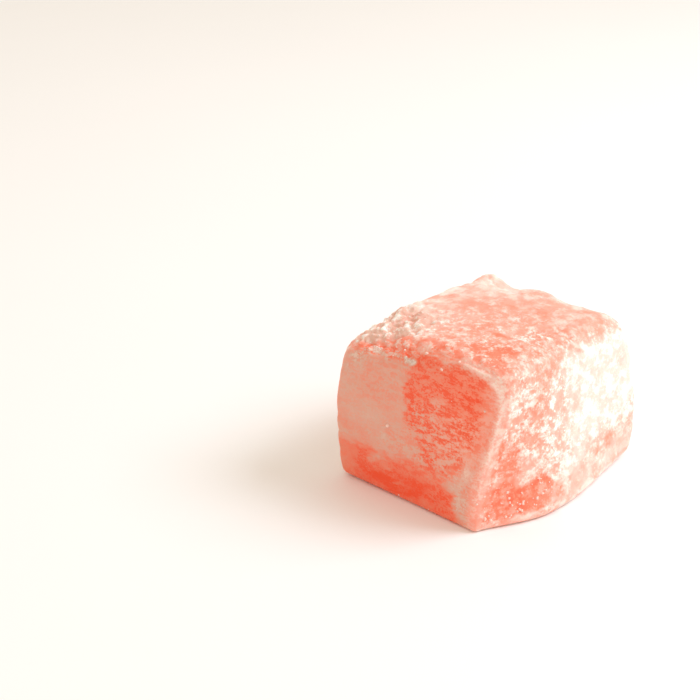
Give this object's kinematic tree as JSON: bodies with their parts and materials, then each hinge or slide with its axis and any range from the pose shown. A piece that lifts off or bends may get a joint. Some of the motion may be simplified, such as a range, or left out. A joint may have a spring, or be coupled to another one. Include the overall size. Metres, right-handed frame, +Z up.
{
  "type": "turkish delight cube",
  "caption": "Knife-cut cube of red starch jelly, slumped at the edges and tossed in fine sugar; a bite-size sweet that rests on its flat foot.",
  "frame": {"origin": "on the flat foot, under the middle of the bounding box", "axes": "+Z up; +X along the longer side; the front, whose foot has crept out, faces -Y, and the wall with the barest jelly faces -X"},
  "size_m": [0.0344, 0.0284, 0.0217],
  "materials": {
    "dusted_jelly": "red jelly under a thin, patchy coat of fine sugar, matt",
    "caked_sugar": "fine sugar caked in small lumps, matt"
  },
  "bodies": {
    "root": {"delight_cube": "dusted_jelly"}
  },
  "joints": []
}
